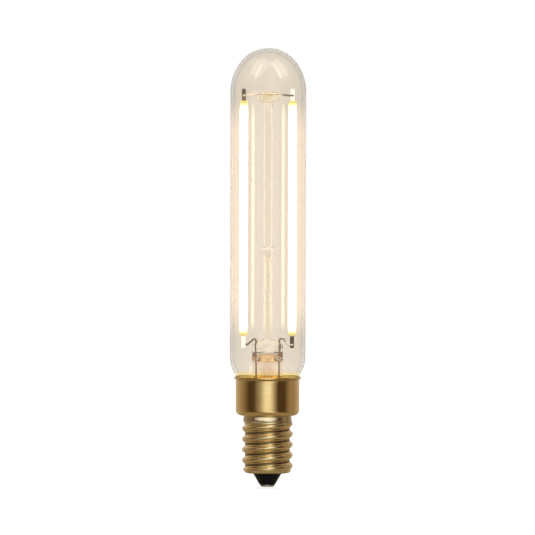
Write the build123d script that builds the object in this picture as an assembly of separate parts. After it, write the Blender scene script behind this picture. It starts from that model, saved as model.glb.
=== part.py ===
from build123d import *
import os
from math import atan2, cos, degrees, pi, radians, sin, sqrt, tan

# Tubular filament lamp on a small screw cap, standing cap down.
# Millimetres, +Z up the lamp's axis, origin at the flat of the centre contact.
# The two filaments hang in the XZ plane, and the camera side is -Y.

# Glass envelope
lamp_length = 117.0
glass_diameter = 20.2
glass_wall = 0.7
dome_stretch = 1.5
dome_crown_tightening = 0.9
shoulder_angle = 24.5
shoulder_radius = 7.0
neck_depth = 5.4

# Screw cap
contact_diameter = 3.9
contact_height = 0.5
contact_bevel = 0.3
contact_shank_diameter = 1.6
insulator_drop = 3.1
insulator_tip_ledge = 0.2
insulator_top_diameter = 7.8
insulator_plug_height = 1.2
insulator_plug_clearance = 0.3
shell_wall = 0.3
shell_corner = 1.2
thread_diameter = 13.6
thread_depth = 0.8
thread_pitch = 2.822
thread_crest_radius = 0.82
thread_flank = 55.0
thread_bite = 0.15
thread_phase = 2.0
collar_proud = 0.03
collar_height = 1.8
threaded_height = 13.6
skirt_diameter = 17.0
skirt_height = 9.5
skirt_corner_share = 0.6
lip_height = 0.8
lip_projection = 0.5
cement_gap = 0.5
cement_drop = 0.9
lip_clearance = 0.12

# Glass stem
flare_diameter = 8.3
flare_wall = 0.6
flare_rise = 3.6
flare_roof_bevel = 2.2
flare_roof_rise = 11.9
press_narrowing = 0.1
press_thickness = 3.2
press_pinch_rise = 10.1
press_pinch_slope = 1.8
press_side_rise = 14.1
press_top_rise = 15.6
exhaust_diameter = 2.4
exhaust_wall = 0.4
exhaust_tip_height = 1.8
exhaust_clearance = 1.5
exhaust_vent_diameter = 1.1
exhaust_vent_rise = 0.9
pillar_diameter = 2.5
pillar_wall = 0.45
support_tube_length = 24.7
joint_bead_diameter = 3.3
joint_bead_height = 2.4
button_width = 6.4
button_thickness = 2.6
button_height = 3.2
button_bevel = 0.5
button_drop = 0.9
button_wire_rise = 2.6

# Filaments
filament_wall_gap = 2.9
filament_rise = 0.7
filament_headroom = 14.0
coating_width = 2.2
coating_depth = 1.7
coating_end_bevel = 0.5
substrate_width = 1.0
substrate_thickness = 0.4
terminal_width = 1.1
terminal_thickness = 0.25
terminal_reach = 3.2
terminal_grip = 1.3
terminal_tip_round = 0.3
chip_count = 22
chip_width = 0.5
chip_thickness = 0.2
chip_length = 1.1

# Wires
lead_diameter = 0.5
lead_wall_gap = 0.15
lead_splice_rise = 11.3
lead_left_rise = 0.5
lead_right_flat = 1.3
lead_bend = 0.5
lead_overhang = 0.3
lead_weld_drop = 2.3
seal_wire_bottom_rise = 9.1
seal_wire_diameter = 0.6
bridge_wire_diameter = 0.5
bridge_wire_bend = 1.5
bridge_wire_dip = 0.3
side_wire_diameter = 0.6

# Driver in the cap
board_thickness = 1.0
board_height = 11.4
board_clearance = 0.4
fuse_diameter = 2.4
fuse_body_height = 3.4
fuse_lead_height = 0.5
capacitor_clearance = 0.5
capacitor_height = 8.0
capacitor_rise = 0.8
package_width = 4.6
package_depth = 1.6
package_height = 3.6
package_leg_length = 0.7
package_leg_width = 0.5
package_leg_thickness = 0.25
package_gap = 1.2
package_rise = 1.6

# Radii and heights worked out from the sizes above
glass_radius = glass_diameter / 2
dome_height = glass_radius + dome_stretch
dome_crown_radius = glass_radius - dome_crown_tightening
dome_start_z = lamp_length - dome_height
shell_bottom_z = contact_height + insulator_drop
root_radius = thread_diameter / 2 - thread_depth
bore_radius = root_radius - shell_wall
collar_radius = thread_diameter / 2 + collar_proud
collar_bottom_z = shell_bottom_z + threaded_height
skirt_bottom_z = collar_bottom_z + collar_height
skirt_radius = skirt_diameter / 2
skirt_bore_radius = skirt_radius - shell_wall
skirt_corner = skirt_corner_share * (skirt_radius - collar_radius)
lip_start_z = skirt_bottom_z + skirt_height
lip_top_z = lip_start_z + lip_height
plug_bottom_z = shell_bottom_z + shell_wall
plug_top_z = plug_bottom_z + insulator_plug_height
neck_radius = skirt_bore_radius - cement_gap
seal_z = lip_top_z - neck_depth
shoulder_slope = tan(radians(shoulder_angle))
crown_rise = dome_height - dome_crown_radius
dome_haunch_radius = (glass_radius**2 + crown_rise**2 - dome_crown_radius**2) / (
    2 * dome_crown_tightening
)
dome_join_angle = degrees(atan2(crown_rise, dome_haunch_radius - glass_radius))
taper_start_z = lip_start_z - (cement_gap - lip_clearance) / shoulder_slope
taper_end_z = taper_start_z + (glass_radius - neck_radius) / shoulder_slope
flare_radius = flare_diameter / 2
flare_bore_radius = flare_radius - flare_wall
rim_bottom_z = seal_z - flare_wall
flare_roof_z = seal_z + flare_roof_rise
press_half_width = flare_radius - press_narrowing / 2
press_pinch_z = seal_z + press_pinch_rise
press_side_z = seal_z + press_side_rise
press_top_z = seal_z + press_top_rise
pillar_radius = pillar_diameter / 2
pillar_joint_z = press_top_z + support_tube_length
filament_x = glass_radius - glass_wall - filament_wall_gap
filament_bottom_z = press_top_z + filament_rise
filament_top_z = lamp_length - filament_headroom
button_bottom_z = filament_top_z - button_drop
bridge_z = button_bottom_z + button_wire_rise
weld_y = -(terminal_thickness + lead_diameter) / 2
bridge_y = -(terminal_thickness + bridge_wire_diameter) / 2
lead_x = flare_bore_radius - seal_wire_diameter / 2 - lead_wall_gap
lead_splice_z = seal_z + lead_splice_rise
lead_weld_z = filament_bottom_z - lead_weld_drop
seal_wire_bottom_z = seal_z + seal_wire_bottom_rise
board_bottom_z = plug_top_z + fuse_body_height + 2 * fuse_lead_height
board_top_z = board_bottom_z + board_height
board_half_width = bore_radius - board_clearance
board_face_y = board_thickness / 2
capacitor_radius = (bore_radius - board_face_y - capacitor_clearance) / 2


def turned(*lines):
    """Solid turned about the lamp's axis from a closed outline in radius and height."""
    return revolve(Plane.XZ * make_face(lines), Axis.Z)


def wire_along(path, diameter):
    """Round wire that follows a path."""
    section = Plane(origin=path @ 0, z_dir=path % 0) * Circle(diameter / 2)
    return sweep(section, path=path)


def bulb_form(inset):
    """The blown bulb as a solid, its skin drawn in by inset."""
    radius = glass_radius - inset
    neck = neck_radius - inset
    lift = inset * tan(radians(shoulder_angle) / 2)
    side = FilletPolyline(
        (neck, seal_z),
        (neck, taper_start_z + lift),
        (radius, taper_end_z + lift),
        (radius, dome_start_z),
        radius=[0, shoulder_radius - inset],
    )
    haunch_centre = (glass_radius - dome_haunch_radius, dome_start_z)
    haunch = CenterArc(haunch_centre, dome_haunch_radius - inset, 0, dome_join_angle)
    crown_centre = (0, lamp_length - dome_crown_radius)
    crown = CenterArc(crown_centre, dome_crown_radius - inset, dome_join_angle, 90 - dome_join_angle)
    axis = Polyline(crown @ 1, (0, seal_z), (neck, seal_z))
    return turned(side, haunch, crown, axis)


def glass_envelope():
    """Blown tube with a domed end, drawn in to a neck that is sealed to the stem."""
    return bulb_form(0) - bulb_form(glass_wall)


def skirt_form(inset):
    """The collar, skirt and lip as a solid, their skin drawn in by inset."""
    collar = collar_radius - inset
    skirt = skirt_radius - inset
    collar_z = collar_bottom_z + inset
    skirt_z = skirt_bottom_z + inset
    lip_step = lip_projection / lip_height
    lip_lift = inset * (sqrt(1 + lip_step**2) - 1) / lip_step
    lip = skirt_radius + lip_projection - inset * sqrt(1 + lip_step**2)
    outline = FilletPolyline(
        (0, collar_z),
        (collar, collar_z),
        (collar, skirt_z),
        (skirt, skirt_z),
        (skirt, lip_start_z + lip_lift),
        (lip, lip_top_z),
        (0, lip_top_z),
        radius=[0, 0, skirt_corner - inset, 0, 0],
    )
    return turned(outline, Line(outline @ 1, outline @ 0))


def thread_ridge():
    """Ridge of the rolled thread, its round crest in three flats, from under the shell past the collar."""
    start_z = shell_bottom_z + thread_phase - thread_pitch
    path = Helix(thread_pitch, collar_bottom_z + thread_pitch / 2 - start_z, root_radius, (0, 0, start_z))
    flank = radians(thread_flank)
    crest_centre = thread_depth - thread_crest_radius * cos(flank / 3)
    crest = [
        (crest_centre + thread_crest_radius * cos(angle), thread_crest_radius * sin(angle))
        for angle in (flank, flank / 3, -flank / 3, -flank)
    ]
    half_foot = crest[0][1] + (crest[0][0] + thread_bite) / tan(flank)
    foot = [(-thread_bite, -half_foot), (-thread_bite, half_foot)]
    outline = make_face(Polyline(*crest, *foot, close=True))
    section = Plane(origin=path @ 0, x_dir=(1, 0, 0), z_dir=path % 0) * outline
    return sweep(section, path=path, is_frenet=True)


def threaded_form():
    """The threaded barrel as a solid, with its lower corner rounded."""
    deep_z = shell_bottom_z - 2 * thread_pitch
    high_z = collar_bottom_z + 2 * thread_pitch
    barrel = Pos(0, 0, deep_z) * Cylinder(
        root_radius, high_z - deep_z, align=(Align.CENTER, Align.CENTER, Align.MIN)
    )
    turn = (collar_radius - shell_corner, shell_bottom_z)
    corner = RadiusArc(turn, (collar_radius, shell_bottom_z + shell_corner), -shell_corner)
    rest = Polyline(
        corner @ 1, (collar_radius, collar_bottom_z), (0, collar_bottom_z), (0, shell_bottom_z), corner @ 0
    )
    return (barrel + thread_ridge()) & turned(corner, rest)


def screw_shell():
    """Drawn brass shell: lip, skirt, collar, rolled thread and a turned-in bottom edge."""
    bottom_hole = Pos(0, 0, shell_bottom_z) * Cylinder(insulator_top_diameter / 2, 2 * shell_wall)
    bore = Pos(0, 0, shell_bottom_z + shell_wall) * Cylinder(
        bore_radius, collar_bottom_z - shell_bottom_z, align=(Align.CENTER, Align.CENTER, Align.MIN)
    )
    outside = threaded_form() + skirt_form(0)
    return outside - bore - skirt_form(shell_wall) - bottom_hole


def cap_insulator():
    """Black glass cone under the shell, locked over its turned-in edge."""
    tip = contact_diameter / 2 + insulator_tip_ledge
    top = insulator_top_diameter / 2
    plug = bore_radius - insulator_plug_clearance
    shank = contact_shank_diameter / 2
    outline = Polyline(
        (shank, contact_height),
        (tip, contact_height),
        (top, shell_bottom_z),
        (top, plug_bottom_z),
        (plug, plug_bottom_z),
        (plug, plug_top_z),
        (shank, plug_top_z),
        close=True,
    )
    return turned(outline)


def centre_contact():
    """Rivet under the cone, its shank up through it to the driver."""
    head = Cylinder(contact_diameter / 2, contact_height, align=(Align.CENTER, Align.CENTER, Align.MIN))
    head = chamfer(head.edges().sort_by(Axis.Z)[0], contact_bevel)
    shank = Cylinder(contact_shank_diameter / 2, plug_top_z, align=(Align.CENTER, Align.CENTER, Align.MIN))
    return head + shank


def capping_cement():
    """Ring of cement between the glass neck and the skirt."""
    outline = Polyline(
        (neck_radius, seal_z),
        (skirt_bore_radius, seal_z),
        (skirt_bore_radius, lip_start_z - cement_drop),
        (neck_radius, lip_start_z - cement_drop),
        close=True,
    )
    return turned(outline)


def stem_flare():
    """Flared glass tube, pinched flat at the top round the wires that it seals."""
    rim = neck_radius - glass_wall
    flare_z = seal_z + flare_rise
    pinch_top_z = press_pinch_z + press_pinch_slope
    outside = Polyline(
        (0, rim_bottom_z),
        (neck_radius, rim_bottom_z),
        (neck_radius, seal_z),
        (rim, seal_z),
        (flare_radius, flare_z),
        (flare_radius, press_pinch_z),
        (press_half_width, pinch_top_z),
        (press_half_width, press_side_z),
        (pillar_radius, press_top_z),
        (0, press_top_z),
        close=True,
    )
    lean = atan2(rim - flare_radius, flare_rise)
    inside = Polyline(
        (0, rim_bottom_z),
        (rim - flare_wall * tan((pi / 2 - lean) / 2), rim_bottom_z),
        (flare_bore_radius, flare_z - flare_wall * tan(lean / 2)),
        (flare_bore_radius, flare_roof_z - flare_roof_bevel),
        (flare_bore_radius - flare_roof_bevel, flare_roof_z),
        (0, flare_roof_z),
        close=True,
    )
    jaws = Polyline(
        (-neck_radius, rim_bottom_z),
        (neck_radius, rim_bottom_z),
        (neck_radius, flare_z),
        (flare_radius, press_pinch_z),
        (press_thickness / 2, pinch_top_z),
        (press_thickness / 2, press_top_z),
        (-press_thickness / 2, press_top_z),
        (-press_thickness / 2, pinch_top_z),
        (-flare_radius, press_pinch_z),
        (-neck_radius, flare_z),
        close=True,
    )
    pinched = turned(outside) & extrude(Plane.YZ * make_face(jaws), neck_radius, both=True)
    stem = pinched - turned(inside) - exhaust_vent()
    for side in (-1, 1):
        stem -= seal_wire(side)
        stem -= inner_lead_root(side)
    return stem


def exhaust_vent():
    """Passage from the exhaust tube's bore out through one face of the press."""
    bore = exhaust_diameter / 2 - exhaust_wall
    up = Pos(0, 0, flare_roof_z) * Cylinder(
        bore, exhaust_vent_rise, align=(Align.CENTER, Align.CENTER, Align.MIN)
    )
    out = Pos(0, 0, flare_roof_z + exhaust_vent_rise) * Rot(90, 0, 0) * Cylinder(
        exhaust_vent_diameter / 2, press_thickness, align=(Align.CENTER, Align.CENTER, Align.MIN)
    )
    return up + out


def exhaust_tube():
    """Pumping tube inside the stem, melted shut to a point above the driver."""
    radius = exhaust_diameter / 2
    bore = radius - exhaust_wall
    tip_z = board_top_z + exhaust_clearance
    outline = Polyline(
        (0, tip_z),
        (radius, tip_z + exhaust_tip_height),
        (radius, flare_roof_z),
        (bore, flare_roof_z),
        (bore, tip_z + exhaust_tip_height),
        (0, tip_z + exhaust_wall),
        close=True,
    )
    return turned(outline)


def support_tube():
    """Lower glass pillar, a tube fused to the press and closed by a bead at its top."""
    bore = pillar_radius - pillar_wall
    bead_start = pillar_joint_z - joint_bead_height
    bulge = ThreePointArc(
        (pillar_radius, bead_start),
        (joint_bead_diameter / 2, pillar_joint_z - joint_bead_height / 2),
        (pillar_radius, pillar_joint_z),
    )
    wall = Polyline(
        bulge @ 1,
        (0, pillar_joint_z),
        (0, bead_start),
        (bore, bead_start),
        (bore, press_top_z),
        (pillar_radius, press_top_z),
        bulge @ 0,
    )
    return turned(bulge, wall)


def support_rod():
    """Upper glass pillar, a solid cane pressed flat into a button that grips the bridge wire."""
    middle_z = button_bottom_z + button_height / 2
    outline = Plane.XZ * Pos(0, middle_z) * SlotOverall(button_width, button_height)
    button = extrude(outline, button_thickness / 2, both=True)
    faces = button.faces().filter_by(Axis.Y)
    button = chamfer(faces.edges(), button_bevel)
    cane = Pos(0, 0, pillar_joint_z) * Cylinder(
        pillar_radius, middle_z - pillar_joint_z, align=(Align.CENTER, Align.CENTER, Align.MIN)
    )
    return button + cane - bridge_wire()


def bridge_wire():
    """Wire through the button, welded at both ends to the filaments' upper terminals."""
    end_x = filament_x + lead_overhang
    bend_x = filament_x - terminal_width
    inner_x = button_width / 2
    path = FilletPolyline(
        (-end_x, bridge_y, bridge_z - bridge_wire_dip),
        (-bend_x, bridge_y, bridge_z - bridge_wire_dip),
        (-inner_x, bridge_y, bridge_z),
        (inner_x, bridge_y, bridge_z),
        (bend_x, bridge_y, bridge_z - bridge_wire_dip),
        (end_x, bridge_y, bridge_z - bridge_wire_dip),
        radius=bridge_wire_bend,
    )
    return wire_along(path, bridge_wire_diameter)


def inner_lead_root(side):
    """Straight foot of an inner lead, sealed in the press."""
    return Pos(side * lead_x, 0, lead_splice_z) * Cylinder(
        lead_diameter / 2,
        press_top_z - lead_splice_z,
        align=(Align.CENTER, Align.CENTER, Align.MIN),
    )


def inner_lead_left():
    """Left lead: up out of the press, then one bend down to the back of the lower terminal."""
    top_z = press_top_z + lead_left_rise
    path = FilletPolyline(
        (-lead_x, 0, lead_splice_z),
        (-lead_x, 0, top_z),
        (terminal_width - filament_x, -weld_y, lead_weld_z),
        (-filament_x - lead_overhang, -weld_y, lead_weld_z),
        radius=lead_bend,
    )
    return wire_along(path, lead_diameter)


def inner_lead_right():
    """Right lead: up out of the press, level outwards, then down to the front of the lower terminal."""
    path = FilletPolyline(
        (lead_x, 0, lead_splice_z),
        (lead_x, 0, press_top_z),
        (lead_x + lead_right_flat, 0, press_top_z),
        (filament_x - terminal_width, weld_y, lead_weld_z),
        (filament_x + lead_overhang, weld_y, lead_weld_z),
        radius=lead_bend,
    )
    return wire_along(path, lead_diameter)


def seal_wire(side):
    """Copper-clad wire that makes the vacuum-tight seal through the press."""
    return Pos(side * lead_x, 0, seal_wire_bottom_z) * Cylinder(
        seal_wire_diameter / 2,
        lead_splice_z - seal_wire_bottom_z,
        align=(Align.CENTER, Align.CENTER, Align.MIN),
    )


def outer_lead(side):
    """Copper wire from the seal down to the driver board."""
    return Pos(side * lead_x, 0, board_top_z) * Cylinder(
        lead_diameter / 2,
        seal_wire_bottom_z - board_top_z,
        align=(Align.CENTER, Align.CENTER, Align.MIN),
    )


def filament_substrate(side):
    """Clear carrier strip of a filament, between the two terminals."""
    bottom = filament_bottom_z + terminal_grip
    length = filament_top_z - terminal_grip - bottom
    return Pos(side * filament_x, 0, bottom) * Box(
        substrate_width, substrate_thickness, length, align=(Align.CENTER, Align.CENTER, Align.MIN)
    )


def filament_chips(side):
    """Row of light-emitting chips on the front of a carrier strip."""
    bottom = filament_bottom_z + terminal_grip
    step = (filament_top_z - terminal_grip - bottom) / chip_count
    face_y = -substrate_thickness / 2
    chip = Box(chip_width, chip_thickness, chip_length, align=(Align.CENTER, Align.MAX, Align.CENTER))
    places = [Pos(side * filament_x, face_y, bottom + step * (i + 0.5)) for i in range(chip_count)]
    return Compound(children=[place * chip for place in places])


def filament_terminal(side, end):
    """Flat metal tab at one end of a filament, end -1 for the lower and 1 for the upper."""
    coating_end = filament_top_z if end > 0 else filament_bottom_z
    length = terminal_reach + terminal_grip
    tab = Box(terminal_width, terminal_thickness, length)
    tip_edges = tab.edges().filter_by(Axis.Y).group_by(Axis.Z)[-1 if end > 0 else 0]
    tab = fillet(tip_edges, terminal_tip_round)
    return Pos(side * filament_x, 0, coating_end + end * (length / 2 - terminal_grip)) * tab


def filament_coating(side):
    """Phosphor silicone moulded round the strip, its chips and the inner ends of the tabs."""
    length = filament_top_z - filament_bottom_z
    bar = Pos(side * filament_x, 0, filament_bottom_z) * extrude(
        SlotOverall(coating_width, coating_depth), length
    )
    ends = bar.edges().group_by(Axis.Z)
    bar = chamfer(ends[0] + ends[-1], coating_end_bevel)
    bar -= filament_substrate(side)
    bar -= filament_chips(side)
    for end in (-1, 1):
        bar -= filament_terminal(side, end)
    return bar


def driver_board():
    """Circuit board upright in the screw shell."""
    return Pos(0, 0, board_bottom_z) * Box(
        2 * board_half_width, board_thickness, board_height, align=(Align.CENTER, Align.CENTER, Align.MIN)
    )


def surface_package(bottom_z, legs):
    """Chip package on the front of the board, with bent legs along both sides."""
    body = Pos(0, -board_face_y, bottom_z) * Box(
        package_width, package_depth, package_height, align=(Align.CENTER, Align.MAX, Align.MIN)
    )
    step = package_height / legs
    foot = Box(
        package_width + 2 * package_leg_length,
        package_leg_thickness,
        package_leg_width,
        align=(Align.CENTER, Align.MAX, Align.CENTER),
    )
    for i in range(legs):
        body += Pos(0, -board_face_y, bottom_z + step * (i + 0.5)) * foot
    return body


def bridge_rectifier():
    """Rectifier on the lower part of the board."""
    return surface_package(board_bottom_z + package_rise, 2)


def current_regulator():
    """Constant-current chip above the rectifier."""
    return surface_package(board_bottom_z + package_rise + package_height + package_gap, 4)


def smoothing_capacitor():
    """Capacitor can lying against the back of the board."""
    return Pos(0, board_face_y + capacitor_radius, board_bottom_z + capacitor_rise) * Cylinder(
        capacitor_radius, capacitor_height, align=(Align.CENTER, Align.CENTER, Align.MIN)
    )


def fuse_resistor():
    """Fusible resistor between the centre contact and the board."""
    lead = Pos(0, 0, plug_top_z) * Cylinder(
        lead_diameter / 2, board_bottom_z - plug_top_z, align=(Align.CENTER, Align.CENTER, Align.MIN)
    )
    body = Pos(0, 0, plug_top_z + fuse_lead_height) * Cylinder(
        fuse_diameter / 2, fuse_body_height, align=(Align.CENTER, Align.CENTER, Align.MIN)
    )
    return body + lead


def side_wire():
    """Short wire from the board's edge to the inside of the shell."""
    radius = side_wire_diameter / 2
    length = sqrt(bore_radius**2 - radius**2) - board_half_width
    return Pos(board_half_width, 0, board_bottom_z + board_height / 2) * Rot(0, 90, 0) * Cylinder(
        radius, length, align=(Align.CENTER, Align.CENTER, Align.MIN)
    )


nodes = {
    "glass_envelope": glass_envelope(),
    "stem_flare": stem_flare(),
    "exhaust_tube": exhaust_tube(),
    "support_tube": support_tube(),
    "support_rod": support_rod(),
    "bridge_wire": bridge_wire(),
    "inner_lead_left": inner_lead_left(),
    "inner_lead_right": inner_lead_right(),
    "screw_shell": screw_shell(),
    "cap_insulator": cap_insulator(),
    "centre_contact": centre_contact(),
    "capping_cement": capping_cement(),
    "driver_board": driver_board(),
    "bridge_rectifier": bridge_rectifier(),
    "current_regulator": current_regulator(),
    "smoothing_capacitor": smoothing_capacitor(),
    "fuse_resistor": fuse_resistor(),
    "side_wire": side_wire(),
}
for side_name, side in (("left", -1), ("right", 1)):
    nodes[f"seal_wire_{side_name}"] = seal_wire(side)
    nodes[f"outer_lead_{side_name}"] = outer_lead(side)
    nodes[f"filament_coating_{side_name}"] = filament_coating(side)
    nodes[f"filament_substrate_{side_name}"] = filament_substrate(side)
    nodes[f"filament_chips_{side_name}"] = filament_chips(side)
    nodes[f"lower_terminal_{side_name}"] = filament_terminal(side, -1)
    nodes[f"upper_terminal_{side_name}"] = filament_terminal(side, 1)

os.makedirs("parts", exist_ok=True)
for name, shape in nodes.items():
    export_step(shape, f"parts/{name}.step")
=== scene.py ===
from math import atan2, cos, pi, radians, sin, sqrt, tan

import bmesh
import bpy
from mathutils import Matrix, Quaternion, Vector


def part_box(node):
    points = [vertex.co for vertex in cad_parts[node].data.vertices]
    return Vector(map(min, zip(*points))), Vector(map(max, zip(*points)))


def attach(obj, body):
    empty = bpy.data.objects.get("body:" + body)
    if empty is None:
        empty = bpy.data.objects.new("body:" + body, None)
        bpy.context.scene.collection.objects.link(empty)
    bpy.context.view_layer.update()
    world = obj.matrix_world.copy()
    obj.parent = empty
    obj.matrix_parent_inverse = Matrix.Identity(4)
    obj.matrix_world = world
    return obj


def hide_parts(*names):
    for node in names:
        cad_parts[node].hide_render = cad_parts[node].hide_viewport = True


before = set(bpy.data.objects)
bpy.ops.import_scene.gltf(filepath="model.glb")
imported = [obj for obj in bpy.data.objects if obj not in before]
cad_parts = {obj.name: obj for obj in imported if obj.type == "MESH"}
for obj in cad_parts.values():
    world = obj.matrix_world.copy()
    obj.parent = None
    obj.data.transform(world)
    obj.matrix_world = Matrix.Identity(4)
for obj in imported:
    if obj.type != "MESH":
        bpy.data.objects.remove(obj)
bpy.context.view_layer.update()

# Tubular filament lamp, lit, standing cap down. Lengths below are in millimetres, +Z up the lamp's
# axis, the camera on the -Y side, and pieces are scaled to metres as they are made.

MM = 0.001
scene = bpy.context.scene


def node_box(name):
    """Lowest and highest corners of a CAD node in millimetres."""
    low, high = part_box(name)
    return [c / MM for c in low], [c / MM for c in high]


# Sizes read from the frame
glass_low, glass_high = node_box("glass_envelope")
stem_low, stem_high = node_box("stem_flare")
shell_low, shell_high = node_box("screw_shell")
plug_low, plug_high = node_box("cap_insulator")
contact_high = node_box("centre_contact")[1]
exhaust_low, exhaust_high = node_box("exhaust_tube")
tube_high = node_box("support_tube")[1]
rod_high = node_box("support_rod")[1]
bar_low, bar_high = node_box("filament_coating_right")
cement_high = node_box("capping_cement")[1]
lamp_length = glass_high[2]
glass_radius = glass_high[0]
seal_z = glass_low[2]
neck_radius = stem_high[0]
rim_bottom_z = stem_low[2]
press_top_z = stem_high[2]
shell_bottom_z = shell_low[2]
lip_top_z = shell_high[2]
lip_radius = shell_high[0]
plug_radius = plug_high[0]
plug_top_z = plug_high[2]
contact_height = plug_low[2]
contact_radius = contact_high[0]
exhaust_radius = exhaust_high[0]
exhaust_tip_z = exhaust_low[2]
roof_z = exhaust_high[2]
bead_radius = tube_high[0]
joint_z = tube_high[2]
button_half_width = rod_high[0]
button_half_thickness = rod_high[1]
button_top_z = rod_high[2]
filament_x = (bar_low[0] + bar_high[0]) / 2
filament_bottom_z = bar_low[2]
filament_top_z = bar_high[2]
coating_half_width = (bar_high[0] - bar_low[0]) / 2
coating_half_depth = bar_high[1]
skirt_bore_radius = cement_high[0]

# Sizes that no box shows
glass_wall = 0.7
dome_height = glass_radius + 1.5
dome_crown_radius = glass_radius - 0.9
shoulder_angle = radians(24.5)
shoulder_radius = 7.0
lip_clearance = 0.12
shell_wall = 0.3
shell_corner = 1.2
thread_depth = 0.8
thread_pitch = 2.822
thread_radius = 0.822
crest_radius = 6.8
crest_z = shell_bottom_z + 2.0
runout_low_z = shell_bottom_z + 12.7
runout_high_z = shell_bottom_z + 14.4
thread_start_z = shell_bottom_z + 1.7
skirt_bottom_z = shell_bottom_z + 15.4
skirt_corner = 1.4
collar_rise = 0.12
collar_taper = 0.12
collar_fillet = 0.25
lip_height = 0.8
insulator_top_radius = 3.9
insulator_tip_ledge = 0.2
shank_radius = 0.8
flare_radius = 4.15
flare_wall = 0.6
flare_rise = 3.6
pinch_start_z = seal_z + 10.1
pinch_end_z = seal_z + 11.9
press_half_width = 4.1
press_half_thickness = 1.6
press_side_z = seal_z + 14.1
hollow_taper = 2.2
exhaust_wall = 0.4
exhaust_tip_height = 1.8
pillar_radius = 1.25
pillar_wall = 0.45
bead_height = 2.4
button_height = 3.2
joint_gap = 0.01

# Sizes that follow
crown_rise = dome_height - dome_crown_radius
dome_haunch_radius = (glass_radius**2 + crown_rise**2 - dome_crown_radius**2) / (
    2 * (glass_radius - dome_crown_radius)
)
root_radius = crest_radius - thread_depth
collar_radius = (root_radius + crest_radius) / 2 + collar_rise
collar_top_radius = collar_radius - collar_taper
thread_top_z = skirt_bottom_z - collar_fillet
skirt_radius = skirt_bore_radius + shell_wall
lip_start_z = lip_top_z - lip_height
cement_gap = skirt_bore_radius - neck_radius
taper_start_z = lip_start_z - (cement_gap - lip_clearance) / tan(shoulder_angle)
insulator_tip_radius = contact_radius + insulator_tip_ledge
flare_top_z = seal_z + flare_rise
flare_bore = flare_radius - flare_wall
button_bottom_z = button_top_z - button_height


def smoothstep(low, high, value):
    """Smooth rise from 0 at low to 1 at high."""
    t = min(1.0, max(0.0, (value - low) / (high - low)))
    return t * t * (3 - 2 * t)


def mixed(first, second, share):
    """Value between two."""
    return first + (second - first) * share


def arc(centre_r, centre_z, radius, start, end, steps):
    """Points of an arc in radius and height, angles in radians from the outward direction."""
    angles = [mixed(start, end, i / steps) for i in range(steps + 1)]
    return [(centre_r + radius * cos(a), centre_z + radius * sin(a)) for a in angles]


def stretch(start, end, steps):
    """Points of a straight run, both ends included."""
    return [
        (mixed(start[0], end[0], i / steps), mixed(start[1], end[1], i / steps)) for i in range(steps + 1)
    ]


def make_piece(name, verts, faces, replaced, material, sharp=45):
    """A closed mesh that stands for one CAD node."""
    mesh = bpy.data.meshes.new(name)
    mesh.from_pydata([Vector(v) * MM for v in verts], [], faces)
    form = bmesh.new()
    form.from_mesh(mesh)
    bmesh.ops.remove_doubles(form, verts=form.verts, dist=1e-7)
    bmesh.ops.recalc_face_normals(form, faces=form.faces)
    form.to_mesh(mesh)
    form.free()
    mesh.shade_smooth()
    mesh.set_sharp_from_angle(angle=radians(sharp))
    mesh.materials.append(material)
    piece = bpy.data.objects.new(name, mesh)
    scene.collection.objects.link(piece)
    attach(piece, "root")
    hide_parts(replaced)
    return piece


def ring_faces(first, second, count):
    """Quads between two rings of vertices."""
    steps = [(i, (i + 1) % count) for i in range(count)]
    return [(first + i, first + j, second + j, second + i) for i, j in steps]


def lathe(outline, segments=128):
    """Vertices and faces of a closed outline in radius and height, turned about the axis."""
    verts, faces, rings = [], [], []
    for r, z in outline:
        if r < 1e-6:
            rings.append((len(verts), 1))
            verts.append((0, 0, z))
            continue
        rings.append((len(verts), segments))
        for i in range(segments):
            angle = 2 * pi * i / segments
            verts.append((r * cos(angle), r * sin(angle), z))
    loop = rings if outline[0][0] < 1e-6 else rings + rings[:1]
    for (a, n), (b, m) in zip(loop, loop[1:]):
        if n == 1 and m == 1:
            continue
        if n == 1:
            faces += [(a, b + (i + 1) % m, b + i) for i in range(m)]
        elif m == 1:
            faces += [(a + i, a + (i + 1) % n, b) for i in range(n)]
        else:
            faces += ring_faces(a, b, n)
    return verts, faces


def superoval(half_x, half_y, power, segments):
    """Ring of points on an oval whose corners fill out as the power rises."""
    points = []
    for i in range(segments):
        angle = 2 * pi * i / segments
        c, s = cos(angle), sin(angle)
        points.append((
            half_x * abs(c) ** (2 / power) * (1 if c > 0 else -1),
            half_y * abs(s) ** (2 / power) * (1 if s > 0 else -1),
        ))
    return points


def loft(sections, segments):
    """Vertices and faces through ovals stacked in height, open at both ends.

    Each section is its height, half width, half thickness and power.
    """
    verts, faces = [], []
    for z, half_x, half_y, power in sections:
        verts += [(x, y, z) for x, y in superoval(half_x, half_y, power, segments)]
    for k in range(len(sections) - 1):
        faces += ring_faces(k * segments, (k + 1) * segments, segments)
    return verts, faces


def capped(verts, faces, segments):
    """The stack of rings with its two ends closed."""
    last = len(verts) - segments
    return verts, faces + [tuple(range(segments)), tuple(range(last, last + segments))]


def dented(verts, low, high, depth):
    """Pinched glass: shallow uneven dents in the front and back between two heights."""
    fade = 0.8
    moved = []
    for x, y, z in verts:
        window = smoothstep(low, low + fade, z) * (1 - smoothstep(high - fade, high, z))
        wave = sin(2.3 * x + 1.1 * z + 0.6) + sin(1.9 * z - 1.4 * x) + 0.7 * sin(3.7 * x - 0.5 * z)
        moved.append((x, y * (1 - depth * window * (0.5 + 0.18 * wave)), z))
    return moved


# Materials


def node_material(name):
    """Material with a principled shader, its tree and the shader."""
    material = bpy.data.materials.new(name)
    material.use_nodes = True
    tree = material.node_tree
    shader = next(node for node in tree.nodes if node.type == "BSDF_PRINCIPLED")
    return material, tree, shader


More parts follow.
